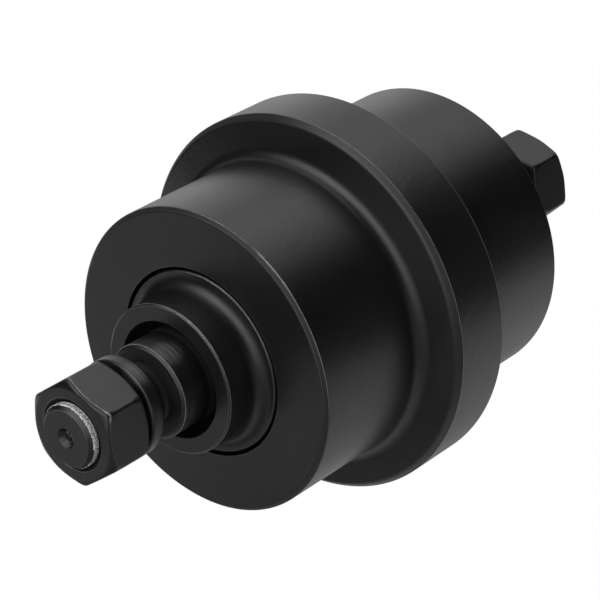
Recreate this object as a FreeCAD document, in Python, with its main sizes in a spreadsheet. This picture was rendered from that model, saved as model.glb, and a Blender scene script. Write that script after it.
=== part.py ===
import FreeCAD, Part
import math
import os
import Sketcher

# Track bottom roller. The roller spins about Y, +Z is up, and the origin is the middle of the roller.
# Each end piece is drawn on the +Y side, and the front one is the same piece turned half a turn about Z.

doc = FreeCAD.newDocument("TrackBottomRoller")
sheet = doc.addObject("Spreadsheet::Sheet", "Sizes")

plain_sizes = {
    "tread_diameter": 98.0,
    "tread_edge_chamfer": 1.2,
    "shell_length": 115.0,
    "flange_diameter": 124.4,
    "flange_rim_width": 22.6,
    "flange_root_width": 28.0,
    "flange_edge_chamfer": 1.5,
    "flange_root_fillet": 3.4,
    "collar_running_gap": 1.1,
    "collar_edge_chamfer": 0.4,
    "collar_web": 4.1,
    "collar_ledge": 5.3,
    "boss_wall": 5.4,
    "boss_length": 13.6,
    "boss_edge_chamfer": 0.5,
    "boss_fillet": 3.4,
    "recess_depth": 9.1,
    "hub_wall": 3.08,
    "thrust_gap": 0.3,
    "shaft_diameter": 36.0,
    "spigot_diameter": 30.0,
    "spigot_proud": 9.9,
    "spigot_chamfer": 1.0,
    "stub_diameter": 20.0,
    "plate_space": 6.0,
    "stub_chamfer": 1.35,
    "centre_mark_diameter": 6.3,
    "centre_cone_depth": 2.8,
    "pilot_diameter": 3.1,
    "pilot_depth": 5.5,
    "pilot_tip": 0.9,
    "collar_slip": 0.02,
    "ring_groove_depth": 1.2,
    "ring_groove_slack": 0.1,
    "snap_ring_width": 3.3,
    "snap_ring_thickness": 2.0,
    "snap_ring_opening": 24.0,
    "snap_ring_turn": 111.0,
    "snap_ring_slack": 0.1,
    "cord_groove_width": 3.0,
    "cord_groove_depth": 2.1,
    "cord_groove_inset": 3.5,
    "cord_slack": 0.03,
    "bush_wall": 3.45,
    "bush_length": 26.0,
    "bush_flange_diameter": 50.0,
    "bush_flange_thickness": 3.0,
    "bush_running_gap": 0.05,
    "bush_seat_gap": 0.01,
    "oil_space_depth": 2.0,
    "oil_space_step": 1.0,
    "seal_space": 14.0,
    "seal_step": 1.4,
    "seal_lip_gap": 0.5,
    "seal_lip_wall": 0.9,
    "seal_housing_taper": 1.8,
    "seal_bore_gap": 0.7,
    "seal_wall": 1.8,
    "seal_tail_taper": 0.7,
    "seal_head_step": 3.0,
    "seal_head_gap": 2.0,
    "seal_head_width": 1.8,
    "seal_ring_width": 5.8,
    "seal_face_film": 0.02,
    "toric_section": 3.9,
    "toric_inset": 4.1,
    "nut_across_flats": 30.0,
    "nut_height": 16.0,
    "nut_end_margin": 2.5,
    "nut_face_diameter": 29.4,
    "nut_chamfer_rise": 1.51,
    "nut_countersink": 1.45,
    "nut_thread_gap": 0.05,
    "front_nut_turn": 40.6,
    "rear_nut_turn": 34.5,
    "washer_diameter": 30.6,
    "washer_bore": 21.0,
    "washer_thickness": 5.0,
    "washer_rise": 3.5,
    "washer_turns": 0.97,
    "front_washer_turn": 103.0,
    "rear_washer_turn": 40.0,
}

for row, (name, number) in enumerate(plain_sizes.items(), start=1):
    sheet.set(f"A{row}", name)
    sheet.set(f"B{row}", str(number))
    sheet.setAlias(f"B{row}", name)
doc.recompute()


class Size:
    """A length that carries its sheet formula and its present value."""

    def __init__(self, formula, value):
        self.formula = formula
        self.value = value

    def join(self, sign, other, value):
        return Size(f"({self.formula} {sign} {other.formula})", value)

    def __add__(self, other):
        return self.join("+", other, self.value + other.value)

    def __sub__(self, other):
        return self.join("-", other, self.value - other.value)

    def half(self):
        return Size(f"({self.formula} / 2)", self.value / 2)


def size(name):
    return Size(f"Sizes.{name}", float(sheet.get(name)))


nothing = Size("0", 0.0)

# Radii
tread_radius = size("tread_diameter").half()
flange_radius = size("flange_diameter").half()
shaft_radius = size("shaft_diameter").half()
spigot_radius = size("spigot_diameter").half()
stub_radius = size("stub_diameter").half()
collar_bore = spigot_radius + size("collar_slip")
cord_groove_radius = collar_bore + size("cord_groove_depth")
hub_radius = cord_groove_radius + size("hub_wall")
seal_inner_radius = hub_radius + size("seal_bore_gap")
seal_tail_radius = seal_inner_radius + size("seal_wall")
seal_neck_radius = seal_tail_radius + size("seal_tail_taper")
seal_head_radius = seal_neck_radius + size("seal_head_step")
seal_housing_mouth = seal_head_radius + size("seal_head_gap")
seal_housing_floor = seal_housing_mouth - size("seal_housing_taper")
collar_radius = seal_housing_mouth + size("seal_lip_wall")
mouth_radius = collar_radius + size("collar_running_gap")
boss_radius = collar_radius - size("collar_ledge")
recess_radius = boss_radius - size("boss_wall")
ring_groove_radius = spigot_radius - size("ring_groove_depth")
snap_ring_inner = ring_groove_radius + size("snap_ring_slack")
bush_bore = shaft_radius + size("bush_running_gap")
bush_outer = bush_bore + size("bush_wall")
bush_seat = bush_outer + size("bush_seat_gap")
bush_flange_radius = size("bush_flange_diameter").half()
bush_flange_seat = bush_flange_radius + size("bush_seat_gap")
oil_space_radius = bush_seat + size("oil_space_depth")

# Stations along the shaft, measured from the middle of the roller
shell_end = size("shell_length").half()
web_back = shell_end - size("collar_web")
boss_end = shell_end + size("boss_length")
recess_floor = boss_end - size("recess_depth")
bush_face = web_back - size("seal_space")
hub_end = bush_face + size("thrust_gap")
bush_shoulder = bush_face - size("bush_flange_thickness")
bush_end = bush_face - size("bush_length")
oil_space_end = bush_end - size("oil_space_step")
seal_meeting = bush_face + (web_back - bush_face).half()
lip_end = seal_meeting + size("seal_step")
mouth_floor = lip_end - size("seal_lip_gap")
spigot_end = boss_end + size("spigot_proud")
washer_back = spigot_end + size("plate_space") + size("washer_rise")
nut_back = washer_back + size("washer_thickness")
nut_face = nut_back + size("nut_height")
stub_end = nut_face + size("nut_end_margin")
cord_groove_start = seal_meeting + size("cord_groove_inset")
cord_groove_end = cord_groove_start + size("cord_groove_width")


def origin_plane(body, role):
    for feature in body.Origin.OriginFeatures:
        if feature.Role == role:
            return feature
    raise ValueError(role)


def new_body(label):
    body = doc.addObject("PartDesign::Body", label)
    body.Label = label
    return body


def profile_sketch(body, name, outlines):
    """Closed outlines of (station, radius) corners in the YZ plane, each corner tied to the sheet."""
    sketch = body.newObject("Sketcher::SketchObject", name)
    sketch.AttachmentSupport = (origin_plane(body, "YZ_Plane"), [""])
    sketch.MapMode = "FlatFace"
    for corners in outlines:
        first = sketch.GeometryCount
        count = len(corners)
        points = [FreeCAD.Vector(along.value, radius.value, 0) for along, radius in corners]
        for index in range(count):
            sketch.addGeometry(Part.LineSegment(points[index], points[(index + 1) % count]), False)
        for index in range(count):
            following = first + (index + 1) % count
            sketch.addConstraint(Sketcher.Constraint("Coincident", first + index, 2, following, 1))
        for index, (along, radius) in enumerate(corners):
            place_point(sketch, first + index, 1, along, radius)
    return sketch


def place_point(sketch, geometry, end, along, radius):
    for kind, length, axis in (("DistanceX", along, -2), ("DistanceY", radius, -1)):
        if length is nothing:
            sketch.addConstraint(Sketcher.Constraint("PointOnObject", geometry, end, axis))
            continue
        number = sketch.addConstraint(Sketcher.Constraint(kind, -1, 1, geometry, end, length.value))
        sketch.setExpression(f"Constraints[{number}]", length.formula)


def revolve(body, name, outlines):
    sketch = profile_sketch(body, name + "_profile", outlines)
    turned = body.newObject("PartDesign::Revolution", name)
    turned.Profile = sketch
    turned.ReferenceAxis = (sketch, ["H_Axis"])
    turned.Angle = 360
    doc.recompute()
    return turned


def groove(body, name, outlines):
    sketch = profile_sketch(body, name + "_profile", outlines)
    cut = body.newObject("PartDesign::Groove", name)
    cut.Profile = sketch
    cut.ReferenceAxis = (sketch, ["H_Axis"])
    cut.Angle = 360
    doc.recompute()
    return cut


def mirror_half(body, feature):
    mirrored = body.newObject("PartDesign::Mirrored", feature.Name + "_mirrored")
    mirrored.Originals = [feature]
    mirrored.MirrorPlane = (origin_plane(body, "XZ_Plane"), [""])
    body.Tip = mirrored
    doc.recompute()
    return mirrored


def round_edges(feature, places):
    """Names of the full circles at the given (station, radius) places, on either side of the middle."""
    names = []
    for number, edge in enumerate(feature.Shape.Edges, start=1):
        if not isinstance(edge.Curve, Part.Circle):
            continue
        station = abs(edge.Curve.Center.y)
        for along, radius in places:
            same_radius = math.isclose(edge.Curve.Radius, radius.value, abs_tol=1e-4)
            if same_radius and math.isclose(station, along.value, abs_tol=1e-4):
                names.append(f"Edge{number}")
    return names


def dress(body, kind, name, feature, places, length):
    dressed = body.newObject(f"PartDesign::{kind}", name)
    dressed.Base = (feature, round_edges(feature, places))
    dressed.setExpression("Radius" if kind == "Fillet" else "Size", length.formula)
    doc.recompute()
    return dressed


def turn_to_side(body, side):
    """side is 1 at the rear and -1 at the front."""
    half_turn = FreeCAD.Rotation(FreeCAD.Vector(0, 0, 1), 0 if side > 0 else 180)
    body.Placement = FreeCAD.Placement(FreeCAD.Vector(0, 0, 0), half_turn)


def build_shell():
    body = new_body("roller_shell")
    half = revolve(body, "shell_half", [[
        (nothing, oil_space_radius),
        (oil_space_end, oil_space_radius),
        (oil_space_end, bush_seat),
        (bush_shoulder, bush_seat),
        (bush_shoulder, bush_flange_seat),
        (bush_face, bush_flange_seat),
        (bush_face, seal_housing_floor),
        (mouth_floor, seal_housing_mouth),
        (mouth_floor, mouth_radius),
        (shell_end, mouth_radius),
        (shell_end, tread_radius),
        (size("flange_root_width").half(), tread_radius),
        (size("flange_rim_width").half(), flange_radius),
        (nothing, flange_radius),
    ]])
    whole = mirror_half(body, half)
    root = [(size("flange_root_width").half(), tread_radius)]
    rim = [(size("flange_rim_width").half(), flange_radius)]
    edge = [(shell_end, tread_radius)]
    filleted = dress(body, "Fillet", "flange_root", whole, root, size("flange_root_fillet"))
    rimmed = dress(body, "Chamfer", "flange_edge", filleted, rim, size("flange_edge_chamfer"))
    dress(body, "Chamfer", "tread_edge", rimmed, edge, size("tread_edge_chamfer"))
    return body


def build_shaft():
    body = new_body("shaft")
    pilot_radius = size("pilot_diameter").half()
    pilot_start = stub_end - size("centre_cone_depth")
    pilot_end = stub_end - size("pilot_depth")
    groove_end = recess_floor + size("snap_ring_thickness") + size("ring_groove_slack")
    half = revolve(body, "shaft_half", [[
        (nothing, nothing),
        (nothing, shaft_radius),
        (hub_end, shaft_radius),
        (hub_end, spigot_radius),
        (recess_floor, spigot_radius),
        (recess_floor, ring_groove_radius),
        (groove_end, ring_groove_radius),
        (groove_end, spigot_radius),
        (spigot_end - size("spigot_chamfer"), spigot_radius),
        (spigot_end, spigot_radius - size("spigot_chamfer")),
        (spigot_end, stub_radius),
        (stub_end - size("stub_chamfer"), stub_radius),
        (stub_end, stub_radius - size("stub_chamfer")),
        (stub_end, size("centre_mark_diameter").half()),
        (pilot_start, pilot_radius),
        (pilot_end, pilot_radius),
        (pilot_end - size("pilot_tip"), nothing),
    ]])
    mirror_half(body, half)
    return body


def build_collar(end, side):
    body = new_body(f"{end}_collar")
    turned = revolve(body, f"{end}_collar_turned", [[
        (hub_end, collar_bore),
        (cord_groove_start, collar_bore),
        (cord_groove_start, cord_groove_radius),
        (cord_groove_end, cord_groove_radius),
        (cord_groove_end, collar_bore),
        (recess_floor, collar_bore),
        (recess_floor, recess_radius),
        (boss_end, recess_radius),
        (boss_end, boss_radius),
        (shell_end, boss_radius),
        (shell_end, collar_radius),
        (lip_end, collar_radius),
        (lip_end, seal_housing_mouth),
        (web_back, seal_housing_floor),
        (web_back, hub_radius),
        (hub_end, hub_radius),
    ]])
    root = [(shell_end, boss_radius)]
    boss_edge = [(boss_end, boss_radius)]
    face_edge = [(shell_end, collar_radius)]
    filleted = dress(body, "Fillet", f"{end}_boss_root", turned, root, size("boss_fillet"))
    bossed = dress(body, "Chamfer", f"{end}_boss_edge", filleted, boss_edge, size("boss_edge_chamfer"))
    dress(body, "Chamfer", f"{end}_face_edge", bossed, face_edge, size("collar_edge_chamfer"))
    turn_to_side(body, side)
    return body


def build_bush(end, side):
    body = new_body(f"{end}_bush")
    revolve(body, f"{end}_bush_turned", [[
        (bush_end, bush_bore),
        (bush_face, bush_bore),
        (bush_face, bush_flange_radius),
        (bush_shoulder, bush_flange_radius),
        (bush_shoulder, bush_outer),
        (bush_end, bush_outer),
    ]])
    turn_to_side(body, side)
    return body


def build_seal_ring(end, side, kind):
    """The turning ring and the fixed ring face each other across an oil film."""
    body = new_body(f"{end}_{kind}_seal_ring")
    film = size("seal_face_film").half()

    def step(length):
        return seal_meeting - length if kind == "turning" else seal_meeting + length

    revolve(body, f"{end}_{kind}_seal_turned", [[
        (step(film), seal_inner_radius),
        (step(film), seal_head_radius),
        (step(size("seal_head_width")), seal_head_radius),
        (step(size("seal_head_width")), seal_neck_radius),
        (step(size("seal_ring_width")), seal_tail_radius),
        (step(size("seal_ring_width")), seal_inner_radius),
    ]])
    turn_to_side(body, side)
    return body


def build_round_cord(label, name, side, station, centre_radius, section_radius):
    """A ring of round section, turned from a circle tied to the sheet."""
    body = new_body(label)
    sketch = body.newObject("Sketcher::SketchObject", name + "_profile")
    sketch.AttachmentSupport = (origin_plane(body, "YZ_Plane"), [""])
    sketch.MapMode = "FlatFace"
    centre = FreeCAD.Vector(station.value, centre_radius.value, 0)
    circle = Part.Circle(centre, FreeCAD.Vector(0, 0, 1), section_radius.value)
    sketch.addGeometry(circle, False)
    place_point(sketch, 0, 3, station, centre_radius)
    number = sketch.addConstraint(Sketcher.Constraint("Radius", 0, section_radius.value))
    sketch.setExpression(f"Constraints[{number}]", section_radius.formula)
    turned = body.newObject("PartDesign::Revolution", name)
    turned.Profile = sketch
    turned.ReferenceAxis = (sketch, ["H_Axis"])
    turned.Angle = 360
    doc.recompute()
    turn_to_side(body, side)
    return body


def build_toric_ring(end, side, kind):
    inset = size("toric_inset")
    station = seal_meeting - inset if kind == "turning" else seal_meeting + inset
    housing = (seal_housing_floor + seal_housing_mouth).half()
    tail = (seal_tail_radius + seal_neck_radius).half()
    middle = (housing + tail).half()
    label = f"{end}_{kind}_toric_ring"
    return build_round_cord(label, label + "_turned", side, station, middle, size("toric_section").half())


def build_shaft_cord(end, side):
    station = (cord_groove_start + cord_groove_end).half()
    middle = (spigot_radius + cord_groove_radius).half()
    section = (cord_groove_radius - spigot_radius).half() - size("cord_slack")
    label = f"{end}_shaft_o_ring"
    return build_round_cord(label, label + "_turned", side, station, middle, section)


def build_snap_ring(end, side):
    body = new_body(f"{end}_snap_ring")
    ring_outer = snap_ring_inner + size("snap_ring_width")
    ring_end = recess_floor + size("snap_ring_thickness")
    sketch = profile_sketch(body, f"{end}_snap_ring_profile", [[
        (recess_floor, snap_ring_inner),
        (ring_end, snap_ring_inner),
        (ring_end, ring_outer),
        (recess_floor, ring_outer),
    ]])
    about_shaft = FreeCAD.Rotation(FreeCAD.Vector(1, 0, 0), 1)
    sketch.AttachmentOffset = FreeCAD.Placement(FreeCAD.Vector(0, 0, 0), about_shaft)
    sketch.setExpression(".AttachmentOffset.Rotation.Angle", "Sizes.snap_ring_turn")
    turned = body.newObject("PartDesign::Revolution", f"{end}_snap_ring_turned")
    turned.Profile = sketch
    turned.ReferenceAxis = (sketch, ["H_Axis"])
    turned.setExpression("Angle", "360 - Sizes.snap_ring_opening")
    doc.recompute()
    turn_to_side(body, side)
    return body


def build_spring_washer(end, side):
    """A split washer standing at its free height, its first end against the nut."""
    body = new_body(f"{end}_spring_washer")
    washer_radius = size("washer_diameter").half()
    washer_bore = size("washer_bore").half()
    sketch = profile_sketch(body, f"{end}_washer_profile", [[
        (washer_back, washer_bore),
        (nut_back, washer_bore),
        (nut_back, washer_radius),
        (washer_back, washer_radius),
    ]])
    about_shaft = FreeCAD.Rotation(FreeCAD.Vector(1, 0, 0), 1)
    sketch.AttachmentOffset = FreeCAD.Placement(FreeCAD.Vector(0, 0, 0), about_shaft)
    sketch.setExpression(".AttachmentOffset.Rotation.Angle", f"Sizes.{end}_washer_turn")
    coil = body.newObject("PartDesign::AdditiveHelix", f"{end}_washer_coil")
    coil.Profile = sketch
    coil.ReferenceAxis = (sketch, ["H_Axis"])
    coil.Mode = "pitch-turns-angle"
    coil.setExpression("Pitch", "Sizes.washer_rise / Sizes.washer_turns")
    coil.setExpression("Turns", size("washer_turns").formula)
    coil.LeftHanded = True
    coil.Reversed = True
    doc.recompute()
    turn_to_side(body, side)
    return body


def build_nut(end, side):
    """A hexagon prism with both ends turned to a chamfer, bored and countersunk."""
    body = new_body(f"{end}_nut")
    prism = body.newObject("PartDesign::AdditivePrism", f"{end}_nut_hexagon")
    prism.Polygon = 6
    prism.setExpression("Circumradius", "Sizes.nut_across_flats / sqrt(3)")
    prism.setExpression("Height", "Sizes.nut_height")
    prism.AttachmentSupport = (origin_plane(body, "XZ_Plane"), [""])
    prism.MapMode = "FlatFace"
    about_shaft = FreeCAD.Rotation(FreeCAD.Vector(0, 0, -side), 1)
    prism.AttachmentOffset = FreeCAD.Placement(FreeCAD.Vector(0, 0, 0), about_shaft)
    prism.setExpression(".AttachmentOffset.Base.z", "-" + nut_face.formula)
    prism.setExpression(".AttachmentOffset.Rotation.Angle", f"Sizes.{end}_nut_turn")
    doc.recompute()
    corner = Size("(Sizes.nut_across_flats / sqrt(3))", size("nut_across_flats").value / math.sqrt(3))
    beyond = corner + size("nut_countersink")
    face_radius = size("nut_face_diameter").half()
    slope = corner - face_radius
    spread = size("nut_chamfer_rise")
    rise = Size(
        f"({spread.formula} * ({slope.formula} + Sizes.nut_countersink) / {slope.formula})",
        spread.value * (slope.value + size("nut_countersink").value) / slope.value,
    )
    bore = stub_radius + size("nut_thread_gap")
    flare = bore + size("nut_countersink")
    groove(body, f"{end}_nut_turning", [
        [(nut_face, face_radius), (nut_face, beyond), (nut_face - rise, beyond)],
        [(nut_back, face_radius), (nut_back + rise, beyond), (nut_back, beyond)],
        [
            (nut_back, nothing),
            (nut_back, flare),
            (nut_back + size("nut_countersink"), bore),
            (nut_face - size("nut_countersink"), bore),
            (nut_face, flare),
            (nut_face, nothing),
        ],
    ])
    turn_to_side(body, side)
    return body


pieces = [build_shaft(), build_shell()]
for end, side in (("front", -1), ("rear", 1)):
    pieces.append(build_collar(end, side))
    pieces.append(build_snap_ring(end, side))
    pieces.append(build_shaft_cord(end, side))
    for kind in ("fixed", "turning"):
        pieces.append(build_seal_ring(end, side, kind))
        pieces.append(build_toric_ring(end, side, kind))
    pieces.append(build_bush(end, side))
    pieces.append(build_spring_washer(end, side))
    pieces.append(build_nut(end, side))

doc.recompute()
for feature in doc.Objects:
    if "Invalid" in feature.State or "Error" in feature.State:
        raise ValueError(f"{feature.Name} did not build: {feature.State}")
for piece in pieces:
    if piece.Shape.isNull() or not piece.Shape.isValid():
        raise ValueError(f"{piece.Label} has no sound solid")
    if len(piece.Shape.Solids) != 1:
        raise ValueError(f"{piece.Label} is not one solid")

os.makedirs("parts", exist_ok=True)
for piece in pieces:
    piece.Shape.exportStep(f"parts/{piece.Label}.step")
    box = piece.Shape.BoundBox
    print(piece.Label, round(piece.Shape.Volume, 1), [round(v, 2) for v in (box.YMin, box.YMax, box.ZMax)])
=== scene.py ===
import math
import bmesh
import bpy
from mathutils import Matrix, Vector, noise


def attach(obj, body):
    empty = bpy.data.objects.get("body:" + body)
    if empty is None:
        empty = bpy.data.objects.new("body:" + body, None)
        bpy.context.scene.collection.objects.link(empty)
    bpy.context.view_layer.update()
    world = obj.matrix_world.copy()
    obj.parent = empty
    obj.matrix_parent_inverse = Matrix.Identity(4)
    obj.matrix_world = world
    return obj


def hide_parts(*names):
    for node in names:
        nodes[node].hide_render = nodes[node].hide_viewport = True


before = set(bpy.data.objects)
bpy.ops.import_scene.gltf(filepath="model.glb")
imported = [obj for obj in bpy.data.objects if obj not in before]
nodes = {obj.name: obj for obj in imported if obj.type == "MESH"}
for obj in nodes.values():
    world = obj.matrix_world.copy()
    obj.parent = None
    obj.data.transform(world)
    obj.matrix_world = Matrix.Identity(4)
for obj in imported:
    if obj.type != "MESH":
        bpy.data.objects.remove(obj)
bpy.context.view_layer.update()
mm = 0.001
print("frame loaded with", len(nodes), "nodes")


# Camera: the roller lies across the picture, seen from its front right and a little above

view = {
    "place": (0.52921, -0.52768, 0.20376),
    "right": (0.723928, 0.642510, -0.251217),
    "up": (0.0, 0.364148, 0.931341),
    "ahead": (-0.689876, 0.674224, -0.263617),
    "lens": 148.242, "sensor": 36.0, "nearest": 0.02,
}
cameraData = bpy.data.cameras.new("photoView")
cameraData.lens = view["lens"]
cameraData.sensor_width = view["sensor"]
cameraData.clip_start = view["nearest"]
camera = bpy.data.objects.new("photoView", cameraData)
axes = Matrix((view["right"], view["up"], [-part for part in view["ahead"]])).transposed().to_4x4()
camera.matrix_world = Matrix.Translation(view["place"]) @ axes
bpy.context.scene.collection.objects.link(camera)
bpy.context.scene.camera = camera
bpy.context.scene.view_settings.view_transform = "Standard"
print("camera placed")


# Node trees, shader and geometry alike, are written as sums of wires

class Wire:  # one output socket
    def __init__(self, sheet, socket):
        self.sheet = sheet
        self.socket = socket

    def __add__(self, other):
        return self.sheet.math("ADD", self, other)

    def __sub__(self, other):
        return self.sheet.math("SUBTRACT", self, other)

    def __rsub__(self, other):
        return self.sheet.math("SUBTRACT", other, self)

    def __mul__(self, other):
        return self.sheet.math("MULTIPLY", self, other)

    def __truediv__(self, other):
        return self.sheet.math("DIVIDE", self, other)

    def __rtruediv__(self, other):
        return self.sheet.math("DIVIDE", other, self)

    __radd__ = __add__
    __rmul__ = __mul__


class Sheet:  # one node tree
    def __init__(self, tree):
        self.tree = tree
        tree.nodes.clear()

    def node(self, kind, settings=None, sockets=None):
        made = self.tree.nodes.new(kind)
        for name, value in (settings or {}).items():
            setattr(made, name, value)
        for name, value in (sockets or {}).items():
            if isinstance(value, Wire):
                self.tree.links.new(value.socket, made.inputs[name])
            else:
                made.inputs[name].default_value = value
        return made

    def take(self, node, output=0):
        return Wire(self, node.outputs[output])

    def math(self, operation, *values):
        return self.take(self.node("ShaderNodeMath", {"operation": operation}, dict(enumerate(values))))

    def fold(self, operation, wires):  # one operation from the first wire through to the last
        result = wires[0]
        for wire in wires[1:]:
            result = self.math(operation, result, wire)
        return result

    def greatest(self, *wires):
        return self.fold("MAXIMUM", wires)

    def diagonal(self, first, second):  # how far two lengths at right angles reach
        return self.math("SQRT", first * first + second * second)

    def fade(self, value, start, end, low=0.0, high=1.0, step="SMOOTHSTEP"):  # from low at start to high at end
        return self.take(self.node("ShaderNodeMapRange", {"interpolation_type": step}, {
            "Value": value, "From Min": start, "From Max": end, "To Min": low, "To Max": high}))

    def fadeOver(self, length, start, end, low=0.0, high=1.0):  # the same, with start and end in millimetres
        return self.fade(length, start * mm, end * mm, low, high)

    def noise(self, place, size, detail=3.0, rough=0.5):
        return self.take(self.node("ShaderNodeTexNoise", None, {
            "Vector": place, "Scale": 1 / size, "Detail": detail, "Roughness": rough}))

    def streaks(self, length, size, detail=2.0):  # noise along one length only
        return self.take(self.node("ShaderNodeTexNoise", {"noise_dimensions": "1D"}, {
            "W": length, "Scale": 1 / size, "Detail": detail}))

    def mix(self, factor, first, second):  # of two colours
        return self.take(self.node("ShaderNodeMix", {"data_type": "RGBA"}, {0: factor, 6: first, 7: second}), 2)

    def parts(self, place):  # the three lengths of a place
        split = self.node("ShaderNodeSeparateXYZ", None, {0: place})
        return [self.take(split, index) for index in range(3)]

    def objectPlace(self):
        return self.take(self.node("ShaderNodeTexCoord"), "Object")


def newMaterial(name):
    material = bpy.data.materials.new(name)
    material.use_nodes = True
    return material, Sheet(material.node_tree)


def surface(sheet, height, sockets):  # the shader with its fine relief, in which every finish ends
    bump = sheet.node("ShaderNodeBump", None, {"Strength": 1.0, "Distance": mm, "Height": height})
    shader = sheet.node("ShaderNodeBsdfPrincipled", None, {**sockets, "Normal": sheet.take(bump)})
    sheet.node("ShaderNodeOutputMaterial", None, {"Surface": sheet.take(shader)})


def roundPlace(sheet):  # place, distance from the middle along the shaft, radius, and the two crosswise lengths
    place = sheet.objectPlace()
    across, along, above = sheet.parts(place)
    return place, sheet.math("ABSOLUTE", along), sheet.diagonal(across, above), across, above


def nearRing(sheet, along, radius, station, reach):  # distance to one turned corner
    return sheet.diagonal(along - station * mm, radius - reach * mm)


def onRings(sheet, wear, place, along, radius, rings):  # one kind of wear at each turned corner of a list
    return sheet.greatest(*[wear(sheet, place, nearRing(sheet, along, radius, station, reach), weight)
                            for station, reach, weight in rings])


# Satin black paint: slightly uneven gloss, edges rubbed thin, small chips along a few of them, and darker duller
# paint laid on as painted shade

paint = {
    "colour": (0.0045, 0.0045, 0.0047, 1),
    "cloudColour": (0.0062, 0.0062, 0.0064, 1),
    "paintedShadeColour": (0.0012, 0.0012, 0.0013, 1),
    "rubAndHighlightColour": (0.32, 0.32, 0.325, 1),
    "chipColour": (0.30, 0.295, 0.285, 1),
    "roughness": 0.36, "paintedShadeRoughness": 0.85, "rubAndHighlightMetal": 0.35, "chipMetal": 0.9, "refraction": 1.5,
    "cloudSize": 26 * mm, "cloudGloss": 0.10, "patchSize": 130 / 3 * mm,
    "peelSize": 1.8 * mm, "peelHeight": 0.08, "peelPatchSize": 15 * mm,
    "rubWidth": 0.17 * mm, "rubRagged": 0.16 * mm, "raggedSize": 0.9 * mm, "breakSize": 4.5 * mm,
    "chipSize": 0.45 * mm, "chipReach": (0.35, 0.1),  # from an edge, in millimetres
    "turnedPitch": 0.42 * mm, "turnedHeight": 0.0012,
    "spotCore": 0.3,  # the share of a spot's reach over which it is full
    # the levels of noise between which each one fades in, and with four numbers also what it gives there
    "cloudLevels": (0.35, 0.65), "peelLevels": (0.42, 0.62, 0.12, 1.0),
    "rubLevels": (0.33, 0.60, 0.45, 1.0), "breakLevels": (0.36, 0.56, 0.6, 1.0),
    "chipLevels": (0.52, 0.62), "chipPatchLevels": (0.42, 0.58),
}


def rubLine(sheet, place, gap, weight):  # paint rubbed thin along an edge, here more and there less
    ragged = sheet.noise(place, paint["raggedSize"], 3.0, 0.6)
    patches = sheet.noise(place, paint["patchSize"])
    breaks = sheet.noise(place, paint["breakSize"], 2.0)
    wearAndGlint = gap + (ragged - 0.5) * paint["rubRagged"]
    here = sheet.fade(patches, *paint["rubLevels"]) * sheet.fade(breaks, *paint["breakLevels"])
    return sheet.fade(wearAndGlint, paint["rubWidth"], 0.0) * here * weight


def chipSpots(sheet, place, gap, weight):  # small flakes of paint gone beside an edge
    fine = sheet.noise(place, paint["chipSize"], 2.0, 0.6)
    patches = sheet.noise(place, paint["patchSize"])
    near = sheet.fadeOver(gap, *paint["chipReach"])
    return sheet.fade(fine, *paint["chipLevels"]) * near * sheet.fade(patches, *paint["chipPatchLevels"]) * weight


def turnedMarks(sheet, along, radius, weight):  # fine rings left by the lathe, seen through the paint
    return sheet.streaks(along + radius, paint["turnedPitch"]) * weight * paint["turnedHeight"]


def spotOf(sheet, place, middle, reach):  # 1 round one point of the piece, 0 beyond its reach
    away = sheet.node("ShaderNodeVectorMath", {"operation": "DISTANCE"}, {
        0: place, 1: [part * mm for part in middle]})
    return sheet.fadeOver(sheet.take(away, "Value"), reach, paint["spotCore"] * reach)


def finishPaint(sheet, place, marks, rubAndHighlight, chips=None, paintedShade=None, bare=None):
    clouds = sheet.noise(place, paint["cloudSize"], 2.0)
    base = sheet.mix(sheet.fade(clouds, *paint["cloudLevels"]), paint["colour"], paint["cloudColour"])
    # paint rubbed thin at edges, and painted highlights given through the same mask
    base = sheet.mix(rubAndHighlight, base, paint["rubAndHighlightColour"])
    gloss = (clouds - 0.5) * paint["cloudGloss"] + paint["roughness"]
    metal = rubAndHighlight * paint["rubAndHighlightMetal"]
    if chips is not None:
        base = sheet.mix(chips, base, paint["chipColour"])
        metal = sheet.greatest(metal, chips * paint["chipMetal"])
    if paintedShade is not None:  # painted shade: darker, duller paint where little light reaches
        base = sheet.mix(paintedShade, base, paint["paintedShadeColour"])
        gloss = gloss * (1.0 - paintedShade) + paintedShade * paint["paintedShadeRoughness"]
    peelPatches = sheet.fade(sheet.noise(place, paint["peelPatchSize"], 1.0), *paint["peelLevels"])
    height = sheet.noise(place, paint["peelSize"], 2.0) * peelPatches * paint["peelHeight"] + marks
    if bare is not None:  # steel with no paint left on it
        mask, steel, steelGloss, steelHeight, steelMetal = bare
        base = sheet.mix(mask, base, steel)
        gloss = gloss * (1.0 - mask) + steelGloss * mask
        metal = sheet.greatest(metal, steelMetal)
        height = height + steelHeight * mask
    surface(sheet, height, {
        "Base Color": base, "Roughness": gloss, "Metallic": metal, "IOR": paint["refraction"]})


# Wear and painted shade of the shell and the collars: stations, radii and places in millimetres

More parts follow.
